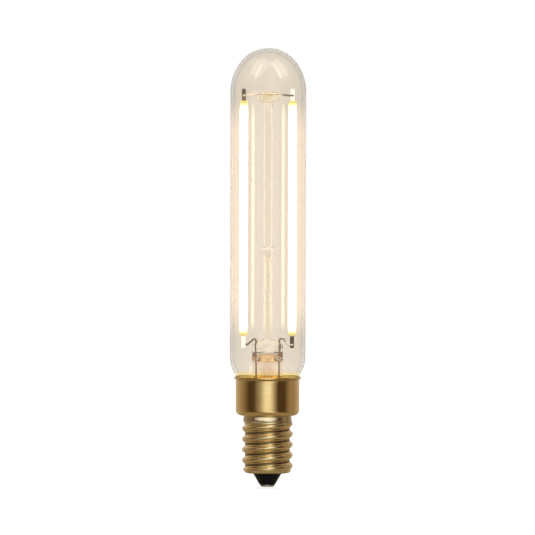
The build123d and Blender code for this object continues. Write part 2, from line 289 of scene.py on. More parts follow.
def output_of(tree):
    """Material output of a tree."""
    return next(node for node in tree.nodes if node.type == "OUTPUT_MATERIAL")


def add_node(tree, kind, inputs=None, **settings):
    """Node with its settings and its inputs, where an input is a value or another node's output."""
    node = tree.nodes.new(kind)
    for key, value in settings.items():
        setattr(node, key, value)
    for key, value in (inputs or {}).items():
        if isinstance(value, bpy.types.NodeSocket):
            tree.links.new(value, node.inputs[key])
        else:
            node.inputs[key].default_value = value
    return node


def maths(tree, operation, first, second=0.0):
    """Output of one sum on two values."""
    return add_node(tree, "ShaderNodeMath", {0: first, 1: second}, operation=operation).outputs[0]


def lamp_axes(tree):
    """Place in the lamp's own frame, one output for each axis."""
    place = add_node(tree, "ShaderNodeTexCoord")
    return add_node(tree, "ShaderNodeSeparateXYZ", {"Vector": place.outputs["Object"]}).outputs


def object_noise(tree, stretch_xyz, scale, detail=4.0, roughness=0.55):
    """Noise in the lamp's own frame, stretched along its axes. Scale is in features per metre."""
    place = add_node(tree, "ShaderNodeTexCoord")
    mapping = add_node(tree, "ShaderNodeMapping", {"Vector": place.outputs["Object"], "Scale": stretch_xyz})
    noise = add_node(
        tree,
        "ShaderNodeTexNoise",
        {"Vector": mapping.outputs["Vector"], "Scale": scale, "Detail": detail, "Roughness": roughness},
    )
    return noise.outputs["Fac"]


def remap(tree, value, low, high, to_low, to_high):
    """Value taken from one range to another, and held there."""
    node = add_node(
        tree,
        "ShaderNodeMapRange",
        {"Value": value, "From Min": low, "From Max": high, "To Min": to_low, "To Max": to_high},
    )
    return node.outputs["Result"]


def by_place(tree, place, low, high, to_low, to_high):
    """Value by a place along one axis, between two places in millimetres."""
    return remap(tree, place, low * MM, high * MM, to_low, to_high)


def blend_colour(tree, factor, first, second):
    """Colour between two, each a value or another node's output."""
    node = add_node(tree, "ShaderNodeMix", {"Factor": factor}, data_type="RGBA")
    for socket, value in ((node.inputs[6], first), (node.inputs[7], second)):
        if isinstance(value, bpy.types.NodeSocket):
            tree.links.new(value, socket)
        else:
            socket.default_value = (*value, 1)
    return node.outputs[2]


def bump(tree, shader, height, strength, distance):
    """Fine relief from a height."""
    node = add_node(
        tree, "ShaderNodeBump", {"Height": height, "Strength": strength, "Distance": distance * MM}
    )
    tree.links.new(node.outputs["Normal"], shader.inputs["Normal"])


def colour_ramp(tree, value, stops):
    """Colour by a value from 0 to 1, through (value, colour) stops in rising order."""
    node = add_node(tree, "ShaderNodeValToRGB", {"Fac": value})
    for i, (place, colour) in enumerate(stops):
        stop = node.color_ramp.elements[i] if i < 2 else node.color_ramp.elements.new(1.0)
        stop.position = place
        stop.color = (*colour, 1)
    return node.outputs["Color"]


def clear_glass(name, tint, ripple, haze=0.0, colour_bands=(), absorb=None):
    """Clear glass with faint drawn ripples, a film of haze, and colour bands between two heights if given;
    some callers use a band for a painted reflection.

    The tint is one colour, or stops of colour by how far the surface turns away from the eye. A band is its
    colour, its two heights, how far its edges fade and its least share where it is patchy.
    """
    material, tree, shader = node_material(name)
    shader.inputs["IOR"].default_value = 1.5
    shader.inputs["Transmission Weight"].default_value = 1.0 - haze
    flow = object_noise(tree, (1, 1, 0.25), 220, 2)
    film = object_noise(tree, (1, 1, 1), 900, 3)
    if isinstance(tint, list):
        turn = add_node(tree, "ShaderNodeLayerWeight", {"Blend": 0.5}).outputs["Facing"]
        colour = colour_ramp(tree, turn, tint)
    else:
        colour = blend_colour(tree, film, tint, tuple(min(1.0, 1.02 * c) for c in tint))
    for band_colour, low, high, edge, least in colour_bands:
        height = lamp_axes(tree)["Z"]
        rise = by_place(tree, height, low - edge, low + edge, 0.0, 1.0)
        fall = by_place(tree, height, high - edge, high + edge, 1.0, 0.0)
        patch = remap(tree, object_noise(tree, (1, 1, 1), 500, 2), 0.4, 0.6, least, 1.0)
        amount = maths(tree, "MULTIPLY", maths(tree, "MULTIPLY", rise, fall), patch)
        colour = blend_colour(tree, amount, colour, band_colour)
    tree.links.new(colour, shader.inputs["Base Color"])
    tree.links.new(remap(tree, film, 0.3, 0.8, 0.0, 0.004), shader.inputs["Roughness"])
    bump(tree, shader, flow, ripple, 0.3)
    if absorb:
        body_colour, density = absorb
        body = {"Color": (*body_colour, 1), "Density": density}
        volume = add_node(tree, "ShaderNodeVolumeAbsorption", body)
        tree.links.new(volume.outputs[0], output_of(tree).inputs["Volume"])
    return material


def painted_filament_glow(material, colour, strength, near, far, fade):
    """Painted glow: warm emission in the glass beside the lit filaments, from a near to a far reach of
    their axes.
    """
    tree = material.node_tree
    shader = next(node for node in tree.nodes if node.type == "BSDF_PRINCIPLED")
    axes = lamp_axes(tree)
    aside = maths(tree, "SUBTRACT", maths(tree, "ABSOLUTE", axes["X"]), filament_x * MM)
    squares = [maths(tree, "MULTIPLY", side, side) for side in (aside, axes["Y"])]
    reach = maths(tree, "SQRT", maths(tree, "ADD", *squares))
    close = by_place(tree, reach, near, far, strength, 0.0)
    low = by_place(tree, axes["Z"], filament_bottom_z, filament_bottom_z + fade, 0.0, 1.0)
    high = by_place(tree, axes["Z"], filament_top_z - fade, filament_top_z, 1.0, 0.0)
    amount = maths(tree, "MULTIPLY", close, maths(tree, "MULTIPLY", low, high))
    tree.links.new(amount, shader.inputs["Emission Strength"])
    shader.inputs["Emission Color"].default_value = (*colour, 1)
    material.cycles.emission_sampling = "NONE"


def metal(name, colour, dull, rough, streak, scale, relief, glow=0.0, end=None):
    """Metal with two tones, uneven polish and streaks drawn along one direction.

    It may glow a little, a painted glow that stands for the lamp's light on it, and may take another colour
    between two places across.
    """
    material, tree, shader = node_material(name)
    shader.inputs["Metallic"].default_value = 1.0
    shader.inputs["Emission Color"].default_value = (1.0, 0.97, 0.93, 1)
    shader.inputs["Emission Strength"].default_value = glow
    lines = object_noise(tree, streak, scale, 5)
    cloud = object_noise(tree, (1, 1, 1), scale / 6, 3)
    tone = remap(tree, cloud, 0.35, 0.7, 0.0, 1.0)
    tones = blend_colour(tree, tone, colour, dull)
    if end:
        end_colour, start, full = end
        share = by_place(tree, lamp_axes(tree)["X"], start, full, 0.0, 1.0)
        tones = blend_colour(tree, share, tones, end_colour)
    tree.links.new(tones, shader.inputs["Base Color"])
    tree.links.new(remap(tree, lines, 0.3, 0.7, rough * 0.8, rough * 1.3), shader.inputs["Roughness"])
    bump(tree, shader, lines, relief, 0.02)
    return material


def shell_brass():
    """Drawn brass: fine draw lines, spots of tarnish on the thread, painted shade in the thread's roots and
    under the lip, and a collar with a painted highlight in front and painted shade at its sides.
    """
    skirt_tones = (0.94, 0.71, 0.37), (0.89, 0.64, 0.30)
    thread_tones = (0.97, 0.78, 0.46), (0.91, 0.71, 0.38)
    # The collar is paler in front and darker towards its sides as seen: a painted highlight and painted
    # shade.
    collar_lit_and_shaded_tones = (1.0, 0.87, 0.60), (0.62, 0.50, 0.30)
    # One dark tone for the tarnish spots on the thread and for the painted shade in the thread's roots and
    # under the lip.
    tarnish_and_shade_tone = (0.16, 0.10, 0.04)
    collar_rise_z = runout_low_z + 1.0
    root_reach = 0.12
    # Heights of the painted shadow under the lip's flange.
    lip_shadow_low_z, lip_shadow_high_z = lip_start_z, lip_top_z - 0.3
    material, tree, shader = node_material("cap_brass")
    shader.inputs["Metallic"].default_value = 1.0
    lines = object_noise(tree, (1, 1, 0.06), 2600, 5)
    cloud = object_noise(tree, (1, 1, 1), 420, 4)
    tone = remap(tree, cloud, 0.35, 0.7, 0.0, 1.0)
    skirt = blend_colour(tree, tone, *skirt_tones)
    thread = blend_colour(tree, tone, *thread_tones)
    facing = add_node(tree, "ShaderNodeLayerWeight", {"Blend": 0.5}).outputs["Facing"]
    # Collar tone by facing: the painted highlight in front, the painted shade at the sides.
    collar = blend_colour(tree, remap(tree, facing, 0.15, 0.4, 0.0, 1.0), *collar_lit_and_shaded_tones)
    axes = lamp_axes(tree)
    height = axes["Z"]
    high = by_place(tree, height, runout_low_z, collar_rise_z, 0.0, 1.0)
    thread = blend_colour(tree, high, thread, collar)
    below = by_place(tree, height, skirt_bottom_z - 0.2, skirt_bottom_z + 0.1, 1.0, 0.0)
    unmarked_brass = blend_colour(tree, below, skirt, thread)
    squares = [maths(tree, "MULTIPLY", side, side) for side in (axes["X"], axes["Y"])]
    radius = maths(tree, "SQRT", maths(tree, "ADD", *squares))
    # Painted shade: the thread's roots darken towards the root radius.
    roots = by_place(tree, radius, root_radius + 0.01, root_radius + root_reach, 0.9, 0.0)
    spots = remap(tree, object_noise(tree, (1, 1, 1), 1500, 5), 0.45, 0.75, 0.0, 0.25)
    worn_and_shaded = maths(tree, "MAXIMUM", roots, maths(tree, "MULTIPLY", spots, below))
    # Painted shadow: a dark band under the lip's flange.
    lip_shadow_rise = by_place(tree, height, lip_shadow_low_z - 0.05, lip_shadow_low_z + 0.1, 0.0, 0.3)
    lip_shadow_fall = by_place(tree, height, lip_shadow_high_z - 0.1, lip_shadow_high_z + 0.05, 1.0, 0.0)
    worn_and_shaded = maths(tree, "MAXIMUM", worn_and_shaded, maths(tree, "MULTIPLY", lip_shadow_rise, lip_shadow_fall))
    # Tarnish spots and painted shade darken the brass, and roughen it a little.
    tree.links.new(blend_colour(tree, worn_and_shaded, unmarked_brass, tarnish_and_shade_tone), shader.inputs["Base Color"])
    polish = remap(tree, lines, 0.3, 0.7, 0.07, 0.13)
    rough = maths(tree, "ADD", polish, maths(tree, "MULTIPLY", worn_and_shaded, 0.2))
    tree.links.new(rough, shader.inputs["Roughness"])
    bump(tree, shader, lines, 0.08, 0.02)
    return material


def coat(name, colour, dull, rough, scale, relief, shine=0.5):
    """Non-metal with a mottled colour and a fine grain."""
    material, tree, shader = node_material(name)
    shader.inputs["Specular IOR Level"].default_value = shine
    grain = object_noise(tree, (1, 1, 1), scale, 6)
    cloud = object_noise(tree, (1, 1, 1), scale / 5, 3)
    tone = remap(tree, cloud, 0.35, 0.7, 0.0, 1.0)
    tree.links.new(blend_colour(tree, tone, colour, dull), shader.inputs["Base Color"])
    tree.links.new(remap(tree, grain, 0.3, 0.7, rough * 0.8, rough * 1.2), shader.inputs["Roughness"])
    bump(tree, shader, grain, relief, 0.03)
    return material


def phosphor():
    """Yellow phosphor silicone, lit between the two ends, which only glow."""
    material, tree, shader = node_material("phosphor")
    grain = object_noise(tree, (1, 1, 1), 2500, 4)
    yellow = blend_colour(tree, grain, (0.88, 0.76, 0.12), (0.94, 0.84, 0.24))
    tree.links.new(yellow, shader.inputs["Base Color"])
    tree.links.new(remap(tree, grain, 0.3, 0.7, 0.45, 0.65), shader.inputs["Roughness"])
    bump(tree, shader, grain, 0.2, 0.03)
    height = lamp_axes(tree)["Z"]
    end_length, fade_length = 0.6, 3.2
    low_end, low_full = filament_bottom_z + end_length, filament_bottom_z + fade_length
    high_full, high_end = filament_top_z - fade_length, filament_top_z - end_length
    low = by_place(tree, height, low_end, low_full, 0.0, 1.0)
    high = by_place(tree, height, high_full, high_end, 1.0, 0.0)
    lit = maths(tree, "MULTIPLY", low, high)
    turn = add_node(tree, "ShaderNodeLayerWeight", {"Blend": 0.5}).outputs["Facing"]
    core = remap(tree, turn, 0.35, 0.75, 1.0, 0.2)
    strength = remap(tree, maths(tree, "MULTIPLY", lit, core), 0.0, 1.0, 0.45, 6.5)
    tree.links.new(strength, shader.inputs["Emission Strength"])
    glow = blend_colour(tree, lit, (1.0, 0.90, 0.40), (1.0, 0.91, 0.74))
    tree.links.new(glow, shader.inputs["Emission Color"])
    return material


# Envelope colour by how far its surface turns from the eye: greyer and darker towards the tube's edges, a
# painted shade at its rims.
envelope_tint = [
    (0.0, (0.945, 0.875, 0.795)),
    (0.2, (0.905, 0.845, 0.770)),
    (0.52, (0.890, 0.835, 0.765)),
    (0.64, (0.79, 0.75, 0.69)),
    (0.76, (0.60, 0.565, 0.51)),
    (1.0, (0.54, 0.51, 0.46)),
]
# Painted reflection: a gold band in the envelope's foot, up to a little above the lip, stands for the brass
# lip seen through the glass.
gold_top_z = lip_top_z + 1.15
foot_painted_reflection = [((1.0, 0.86, 0.51), seal_z, gold_top_z, 0.2, 0.9)]
envelope_body = ((0.27, 0.43, 0.38), 60.0)
envelope_glass = clear_glass(
    "envelope_glass", envelope_tint, 0.001, haze=0.04, colour_bands=foot_painted_reflection, absorb=envelope_body
)
# Painted glow of the filaments' light in the envelope glass.
painted_filament_glow(envelope_glass, (1.0, 0.65, 0.43), strength=0.10, near=4.0, far=9.0, fade=8.0)
amber_low_z, amber_high_z = pinch_start_z - 0.4, pinch_start_z + 1.1
# Colour bands in the stem glass: peach in the lower flare and amber round the foot of the press.
stem_bands = [
    ((0.96, 0.90, 0.82), rim_bottom_z, amber_low_z, 0.4, 0.8),
    ((0.86, 0.61, 0.20), amber_low_z, amber_high_z, 0.25, 0.75),
]
stem_glass = clear_glass("stem_glass", (0.97, 0.94, 0.89), 0.004, colour_bands=stem_bands)
exhaust_glass = clear_glass("exhaust_glass", (0.97, 0.93, 0.91), 0.004)
# Painted reflection: patchy yellow on the pressed button stands for the yellow filament ends seen in it.
button_painted_reflection = [((0.93, 0.86, 0.52), button_bottom_z, lamp_length, 0.4, 0.0)]
pillar_glass = clear_glass("pillar_glass", (0.97, 0.95, 0.90), 0.004, colour_bands=button_painted_reflection)
brass = shell_brass()
lead_dark = metal("lead_dark", (0.26, 0.21, 0.17), (0.17, 0.13, 0.10), 0.3, (1, 1, 1), 6000, 0.1)
lead_end = ((0.97, 0.95, 0.92), 4.4, 5.2)
lead_bright = metal(
    "lead_bright", (0.34, 0.26, 0.19), (0.24, 0.18, 0.13), 0.3, (1, 1, 1), 6000, 0.1, end=lead_end
)
bridge_end = ((0.20, 0.17, 0.09), 3.2, 4.4)
bridge_metal = metal(
    "bridge_wire", (0.90, 0.84, 0.72), (0.80, 0.74, 0.62), 0.25, (1, 1, 1), 6000, 0.1, end=bridge_end
)
# Lit and shaded copies of one terminal metal: the near white one that glows a little is painted light, the
# brown and dark ones are painted shade.
terminal_painted_lit = metal(
    "terminal_painted_lit", (0.97, 0.96, 0.94), (0.92, 0.91, 0.88), 0.5, (1, 1, 0.1), 6000, 0.1, glow=0.8
)
terminal_painted_half_shade = metal(
    "terminal_painted_half_shade", (0.34, 0.22, 0.13), (0.12, 0.075, 0.03), 0.4, (1, 1, 0.1), 6000, 0.1
)
terminal_painted_shade = metal(
    "terminal_painted_shade", (0.10, 0.055, 0.03), (0.04, 0.022, 0.01), 0.4, (1, 1, 0.1), 6000, 0.1
)
seal_red = metal("seal_red", (0.62, 0.17, 0.08), (0.45, 0.10, 0.05), 0.4, (1, 1, 0.2), 5000, 0.1)
seal_brown = metal("seal_brown", (0.40, 0.20, 0.08), (0.28, 0.13, 0.05), 0.4, (1, 1, 0.2), 5000, 0.1)
outer_copper = metal(
    "outer_copper", (0.22, 0.13, 0.07), (0.15, 0.08, 0.04), 0.35, (1, 1, 0.2), 5000, 0.1
)
black_glass = coat(
    "cap_black_glass", (0.005, 0.0045, 0.007), (0.008, 0.007, 0.010), 0.25, 1500, 0.05, shine=0.15
)
contact_metal = metal(
    "contact_metal", (0.62, 0.62, 0.61), (0.48, 0.47, 0.46), 0.35, (1, 1, 1), 3000, 0.2
)
cement = coat("cement", (0.72, 0.50, 0.20), (0.60, 0.40, 0.15), 0.8, 2500, 0.5)
carrier = coat("carrier_strip", (0.80, 0.80, 0.77), (0.72, 0.72, 0.70), 0.4, 4000, 0.1)
chip = coat("filament_chip", (0.28, 0.40, 0.68), (0.22, 0.32, 0.58), 0.2, 6000, 0.05)
board = coat("board", (0.02, 0.10, 0.035), (0.015, 0.075, 0.025), 0.4, 3000, 0.15)
package = coat("package_black", (0.012, 0.012, 0.013), (0.02, 0.02, 0.02), 0.5, 5000, 0.2)
can = metal("capacitor_can", (0.62, 0.63, 0.65), (0.52, 0.53, 0.55), 0.3, (1, 1, 0.1), 3000, 0.1)
resistor = coat("resistor_coat", (0.18, 0.34, 0.38), (0.14, 0.28, 0.32), 0.35, 3000, 0.1)
# Painted light: the shell's inner faces take a pale, brighter brass, a lit copy of the cap's brass.
inner_brass_painted_lit = metal("inner_brass_painted_lit", (1.0, 0.97, 0.78), (0.98, 0.94, 0.72), 0.12, (1, 1, 0.2), 2600, 0.1)
phosphor_coat = phosphor()

# Pieces turned from an outline


def bulb_side(inset):
    """Outline of the bulb from the neck's end up to the crown, its skin drawn in by inset."""
    radius = glass_radius - inset
    neck = neck_radius - inset
    lift = inset * tan(shoulder_angle / 2)
    start = (neck, taper_start_z + lift)
    end_z = taper_start_z + lift + (radius - neck) / tan(shoulder_angle)
    bend = shoulder_radius - inset
    cut = bend * tan(shoulder_angle / 2)
    slope_end = (radius - cut * sin(shoulder_angle), end_z - cut * cos(shoulder_angle))
    dome_start_z = lamp_length - dome_height
    join = atan2(crown_rise, dome_haunch_radius - glass_radius)
    haunch_r = glass_radius - dome_haunch_radius
    side = stretch((neck, seal_z), start, 6) + stretch(start, slope_end, 8)[1:]
    side += arc(radius - bend, end_z + cut, bend, -shoulder_angle, 0, 12)[1:]
    side += stretch((radius, end_z + cut), (radius, dome_start_z), 24)[1:]
    side += arc(haunch_r, dome_start_z, dome_haunch_radius - inset, 0, join, 24)[1:]
    side += arc(0, lamp_length - dome_crown_radius, dome_crown_radius - inset, join, pi / 2, 32)[1:-1]
    return side + [(0, lamp_length - inset)]


def glass_envelope():
    """Blown tube with its dome, both skins as one closed wall."""
    outline = bulb_side(0)[::-1] + bulb_side(glass_wall)
    verts, faces = lathe(outline, 256)
    return make_piece("envelope", verts, faces, "glass_envelope", envelope_glass)


def cap_insulator():
    """Black glass cone with its plug inside the shell."""
    edge = 0.15
    cone_start = (insulator_tip_radius + 0.06, contact_height + joint_gap + 0.2)
    hole = shank_radius + joint_gap
    tip, top = insulator_tip_radius, insulator_top_radius - joint_gap
    low, high = contact_height + joint_gap, shell_bottom_z
    shelf_z = high + shell_wall + joint_gap
    outline = [(hole, low), (tip - edge, low)]
    outline += arc(tip - edge, low + edge, edge, -pi / 2, -pi / 8, 6)[1:]
    outline += stretch(cone_start, (top, high), 10)
    outline += [(top, shelf_z), (plug_radius, shelf_z), (plug_radius, plug_top_z), (hole, plug_top_z)]
    verts, faces = lathe(outline, 128)
    return make_piece("insulator", verts, faces, "cap_insulator", black_glass, 30)


def centre_contact():
    """Rivet head with a soft edge, and its shank."""
    edge = 0.3
    outline = [(0, 0)] + stretch((0.4, 0), (contact_radius - edge, 0), 4)
    outline += arc(contact_radius - edge, edge, edge, -pi / 2, 0, 8)[1:]
    outline += [
        (contact_radius, contact_height),
        (shank_radius, contact_height),
        (shank_radius, plug_top_z),
        (0, plug_top_z),
    ]
    verts, faces = lathe(outline, 96)
    return make_piece("contact", verts, faces, "centre_contact", contact_metal, 35)


def round_tip(radius, base_z, depth, steps=10):
    """Points of a melted tip from its point out to the tube's side."""
    angles = [pi / 2 * i / steps for i in range(steps + 1)]
    return [(radius * sin(a), base_z - depth * cos(a)) for a in angles]


def exhaust_tube():
    """Pumping tube with its tip melted to a point."""
    bore = exhaust_radius - exhaust_wall
    top = roof_z - joint_gap
    shoulder_z = exhaust_tip_z + exhaust_tip_height
    outline = round_tip(exhaust_radius, shoulder_z, exhaust_tip_height)
    outline += [(exhaust_radius, top), (bore, top)]
    outline += round_tip(bore, shoulder_z, exhaust_tip_height - exhaust_wall)[::-1]
    verts, faces = lathe(outline, 64)
    return make_piece("exhaust", verts, faces, "exhaust_tube", exhaust_glass)


def support_tube():
    """Lower pillar: a tube with a fused bead at its top."""
    bore = pillar_radius - pillar_wall
    low, high = press_top_z + joint_gap, joint_z - joint_gap
    bead_start = joint_z - bead_height
    drop = 0.4
    bead = []
    for i in range(25):
        t = i / 24
        bulge = (bead_radius - pillar_radius) * sin(pi * t) ** 2
        bead.append((pillar_radius + bulge, mixed(bead_start, high, t)))
    roof = round_tip(bore, bead_start, drop)
    outline = [(0, high)] + bead[::-1] + [(pillar_radius, low), (bore, low)] + roof[::-1]
    verts, faces = lathe(outline, 96)
    return make_piece("lower_pillar", verts, faces, "support_tube", pillar_glass)


# Pieces through stacked ovals


def press_section(z):
    """Half width, half thickness and squareness of the stem from the flare's tube up through the press."""
    pinch = smoothstep(pinch_start_z, pinch_end_z, z)
    half_x = mixed(flare_radius, press_half_width, pinch)
    half_y = mixed(flare_radius, press_half_thickness, pinch)
    return half_x, half_y, mixed(2.0, 4.5, pinch)


def stem_flare():
    """Flared tube pinched into a flat press, with its own hollow inside."""
    segments = 160
    rim = neck_radius - glass_wall
    outside = [(rim_bottom_z, neck_radius - joint_gap, neck_radius - joint_gap, 2)]
    outside.append((seal_z - joint_gap, neck_radius - joint_gap, neck_radius - joint_gap, 2))
    for i in range(25):
        t = i / 24
        r = mixed(flare_radius, rim - joint_gap, (1 - t) ** 2.2)
        outside.append((mixed(seal_z, flare_top_z, t), r, r, 2))
    for i in range(1, 57):
        z = mixed(flare_top_z, press_side_z, i / 56)
        outside.append((z, *press_section(z)))
    for i in range(1, 17):
        t = i / 16
        half_x = mixed(press_half_width, pillar_radius, t**0.9)
        half_y = mixed(press_half_thickness, pillar_radius, smoothstep(0, 1, t))
        outside.append((mixed(press_side_z, press_top_z, t), half_x, half_y, mixed(4.5, 2.0, t)))
    mouth = rim - 0.3
    inside = []
    hollow_low_z = flare_top_z - flare_wall / 2
    for i in range(25):
        t = i / 24
        r = mixed(flare_bore, mouth, (1 - t) ** 2.2)
        inside.append((mixed(rim_bottom_z, hollow_low_z, t), r, r, 2))
    for i in range(1, 41):
        z = mixed(hollow_low_z, roof_z, i / 40)
        half_x, half_y, power = press_section(z)
        r = flare_bore - max(0.0, z - roof_z + hollow_taper)
        inside.append((z, min(r, half_x - 0.5), min(r, half_y - 0.25), 2))
    verts, faces = loft(outside, segments)
    verts = dented(verts, pinch_end_z - 0.4, press_top_z, 0.32)
    inner_verts, inner_faces = loft(inside, segments)
    base = len(verts)
    top = base - segments
    end = base + len(inner_verts) - segments
    faces += [tuple(base + i for i in face) for face in inner_faces]
    faces += [tuple(range(top, top + segments)), tuple(range(end, end + segments))]
    faces += ring_faces(0, base, segments)
    return make_piece("stem", verts + inner_verts, faces, "stem_flare", stem_glass)


def support_rod():
    """Upper pillar: a solid cane that swells into the pressed button."""
    middle = button_top_z - button_height / 2
    half_height = button_height / 2
    flat = button_half_width - half_height
    edge = 0.5
    rows = [(joint_z + joint_gap, pillar_radius, pillar_radius, 2)]
    for i in range(1, 17):
        z = mixed(joint_z, button_bottom_z - 0.4, i / 16)
        rows.append((z, pillar_radius, pillar_radius, 2))
    steps = 40
    for i in range(1, steps):
        z = middle - half_height * cos(pi * i / steps)
        inset = max(0.0, edge - (half_height - abs(z - middle)))
        half_x = flat + sqrt(half_height**2 - (z - middle) ** 2)
        half_y = button_half_thickness - inset
        grow = 1.0
        if z < middle:
            grow = smoothstep(button_bottom_z - 0.1, button_bottom_z + 0.7, z)
        rows.append((
            z, mixed(pillar_radius, half_x, grow), mixed(pillar_radius, half_y, grow), mixed(2.0, 5.0, grow)
        ))
    segments = 128
    verts, faces = loft(rows, segments)
    verts = dented(verts, button_bottom_z - 0.3, button_top_z + 0.5, 0.5)
    verts, faces = capped(verts, faces, segments)
    return make_piece("upper_pillar", verts, faces, "support_rod", pillar_glass, 60)


def filament(side, side_name):
    """Moulded phosphor bar, a little uneven along its length."""
    rows = []
    length = filament_top_z - filament_bottom_z
    steps = 120
    for i in range(steps + 1):
        z = filament_bottom_z + length * (0.5 - 0.5 * cos(pi * i / steps))
        end = min(z - filament_bottom_z, filament_top_z - z)
        close = sqrt(max(0.0, 1 - (1 - min(1.0, end / 0.6)) ** 2))
        wave = 1 - 0.02 * (1 + sin(z * 1.7 + side)) / 2
        scale = mixed(0.45, 1.0, close) * wave
        rows.append((z, coating_half_width * scale, coating_half_depth * scale, 2.6))
    segments = 48
    verts, faces = loft(rows, segments)
    verts, faces = capped(verts, faces, segments)
    verts = [(x + side * filament_x, y, z) for x, y, z in verts]
    name, replaced = f"filament_{side_name}", f"filament_coating_{side_name}"
    return make_piece(name, verts, faces, replaced, phosphor_coat, 60)


# Screw shell


def knuckle(z, angle):
    """Radius of the rolled thread: round crests and round roots that meet on the flank."""
    phase = ((z - crest_z) / thread_pitch - angle / (2 * pi)) % 1.0
    along = min(phase, 1 - phase) * thread_pitch
    quarter = thread_pitch / 4
    if along <= quarter:
        return crest_radius - thread_radius + sqrt(thread_radius**2 - along**2)
    rest = thread_pitch / 2 - along
    return root_radius + thread_radius - sqrt(thread_radius**2 - rest**2)


def shell_radius(z, angle):
    """Outer radius of the threaded barrel: rounded off below, running out into the collar above."""
    rise = (z - runout_low_z) / (thread_top_z - runout_low_z)
    collar = mixed(collar_radius + collar_taper, collar_top_radius, rise)
    radius = mixed(knuckle(z, angle), collar, smoothstep(runout_low_z, runout_high_z, z))
    radius = mixed(collar_radius, radius, smoothstep(shell_bottom_z, thread_start_z, z))
    low = z - shell_bottom_z
    if low < shell_corner:
        turn = sqrt(max(0.0, shell_corner**2 - (shell_corner - low) ** 2))
        radius = min(radius, collar_radius - shell_corner + turn)
    return radius


def shell_rows():
    """Rows of the shell's outside from the turned-in edge up: kind, radius and height of each."""
    hole = insulator_top_radius + joint_gap
    levels = 150
    rows = [("flat", mixed(hole, collar_radius - shell_corner, i / 6), shell_bottom_z) for i in range(7)]
    rows += [("thread", 0.0, mixed(shell_bottom_z, thread_top_z, i / levels)) for i in range(1, levels + 1)]
    upper = arc(collar_top_radius + collar_fillet, thread_top_z, collar_fillet, pi, pi / 2, 6)[1:]
    corner_r, corner_z = skirt_radius - skirt_corner, skirt_bottom_z + skirt_corner
    upper += stretch(upper[-1], (corner_r, skirt_bottom_z), 4)[1:]
    upper += arc(corner_r, corner_z, skirt_corner, -pi / 2, 0, 12)[1:]
    upper += stretch((skirt_radius, corner_z), (skirt_radius, lip_start_z), 12)[1:]
    flare_share = 0.65
    for i in range(1, 25):
        t = i / 24
        out = smoothstep(0, flare_share, t)
        upper.append((mixed(skirt_radius, lip_radius, out), mixed(lip_start_z, lip_top_z, t)))
    return rows + [("plain", r, z) for r, z in upper]


def screw_shell():
    """Drawn brass shell: turned-in edge, rolled thread, collar, skirt and flared lip, in one sheet."""
    segments = 192
    wall_on_slope = 1.1 * shell_wall
    rows = shell_rows()
    angles = [2 * pi * i / segments for i in range(segments)]
    corner_top_z = skirt_bottom_z + skirt_corner
    verts, faces = [], []
    for kind, r, z in rows:
        for a in angles:
            radius = shell_radius(z, a) if kind == "thread" else r
            verts.append((radius * cos(a), radius * sin(a), z))
    for kind, r, z in rows:
        for a in angles:
            if kind == "flat":
                radius, level = min(r, root_radius - shell_wall), z + shell_wall
            elif kind == "thread":
                level = max(z, shell_bottom_z + shell_wall)
                radius = max(shell_radius(level, a) - wall_on_slope, root_radius - shell_wall)
            elif z <= corner_top_z:
                radius, level = max(r, collar_top_radius) - shell_wall, z + shell_wall
            else:
                radius, level = r - shell_wall, max(z, corner_top_z + shell_wall)
            verts.append((radius * cos(a), radius * sin(a), level))
    count = len(rows)
    for k in range(count - 1):
        faces += ring_faces(k * segments, (k + 1) * segments, segments)
        faces += ring_faces((count + k) * segments, (count + k + 1) * segments, segments)
    faces += ring_faces(0, count * segments, segments)
    faces += ring_faces((count - 1) * segments, (2 * count - 1) * segments, segments)
    piece = make_piece("shell", verts, faces, "screw_shell", brass, 50)
    # Inner faces above the skirt's foot take the painted lit brass.
    piece.data.materials.append(inner_brass_painted_lit)
    for face in piece.data.polygons:
        inward = face.normal.x * face.center.x + face.normal.y * face.center.y < 0
        if face.center.z > skirt_bottom_z * MM and (inward or face.normal.z > 0.5):
            face.material_index = 1
    return piece


glass_envelope()
cap_insulator()
centre_contact()
exhaust_tube()
support_tube()
stem_flare()
support_rod()
screw_shell()
for name, side in (("left", -1), ("right", 1)):
    filament(side, name)

# CAD nodes that keep their own shape
kept = {
    bridge_metal: ["bridge_wire"],
    lead_dark: ["inner_lead_left"],
    lead_bright: ["inner_lead_right"],
    terminal_painted_lit: ["lower_terminal_left", "upper_terminal_right"],
    terminal_painted_half_shade: ["upper_terminal_left"],
    terminal_painted_shade: ["lower_terminal_right"],
    seal_red: ["seal_wire_left"],
    seal_brown: ["seal_wire_right"],
    outer_copper: ["outer_lead_left", "outer_lead_right", "side_wire"],
    carrier: ["filament_substrate_left", "filament_substrate_right"],
    chip: ["filament_chips_left", "filament_chips_right"],
    cement: ["capping_cement"],
    board: ["driver_board"],
    package: ["bridge_rectifier", "current_regulator"],
    can: ["smoothing_capacitor"],
    resistor: ["fuse_resistor"],
}
for material, names in kept.items():
    for name in names:
        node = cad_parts[name]
        node.data.materials.clear()
        node.data.materials.append(material)

# Camera: a long lens a little above the middle of the lamp, looking slightly down at it
image_size = 535
pixels_per_mm = 3.75
camera_distance = 2000.0
camera_height = 123.0
camera_aside = -0.09
camera_roll = radians(0.15)
aim_height = 58.5
camera = bpy.data.objects.new("camera", bpy.data.cameras.new("camera"))
scene.collection.objects.link(camera)
camera_place = Vector((camera_aside, -camera_distance, camera_height)) * MM
camera_aim = Vector((camera_aside, 0, aim_height)) * MM
camera.data.lens = camera.data.sensor_width * camera_distance / (image_size / pixels_per_mm)
camera.data.clip_start = 0.01
camera.location = camera_place
level_view = (camera_aim - camera_place).to_track_quat("-Z", "Y")
camera.rotation_euler = (level_view @ Quaternion((0, 0, 1), camera_roll)).to_euler()
scene.camera = camera

